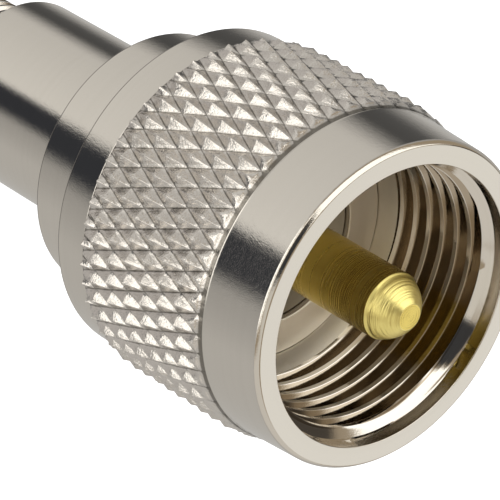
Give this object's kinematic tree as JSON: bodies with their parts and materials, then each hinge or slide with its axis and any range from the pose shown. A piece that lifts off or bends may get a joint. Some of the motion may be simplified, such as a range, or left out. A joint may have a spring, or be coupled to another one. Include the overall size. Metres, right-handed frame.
{
  "type": "coaxial adapter with coupling nut",
  "caption": "Straight coaxial adapter: gold pin inside a knurled threaded coupling nut that spins and slides, smooth barrel, small threaded end.",
  "frame": {"origin": "centre of the lower end face, the end with the small thread", "axes": "+Z along the adapter's axis, from the small threaded end towards the coupling nut's mouth"},
  "size_m": [0.0198, 0.0198, 0.0417],
  "materials": {
    "nickel": "satin nickel plate over brass",
    "spring_bronze": "plain spring bronze",
    "gold": "gold plate with fine turning marks",
    "dielectric_tan": "smooth",
    "dielectric_white": "smooth"
  },
  "bodies": {
    "adapter": {"main_body": "nickel", "front_dielectric": "dielectric_tan", "rear_dielectric": "dielectric_white", "center_pin": "gold", "rear_contact": "gold"},
    "retainer": {"retaining_ring": "spring_bronze"},
    "nut": {"coupling_nut": "nickel"}
  },
  "joints": [
    {"name": "nut_slide", "type": "slide", "parent": "adapter", "child": "retainer", "axis": [0, 0, 1], "range_m": [0, 0.0012]},
    {"name": "nut_spin", "type": "hinge", "parent": "retainer", "child": "nut", "pos_m": [0, 0, 0.027], "axis": [0, 0, 1], "continuous": true}
  ]
}
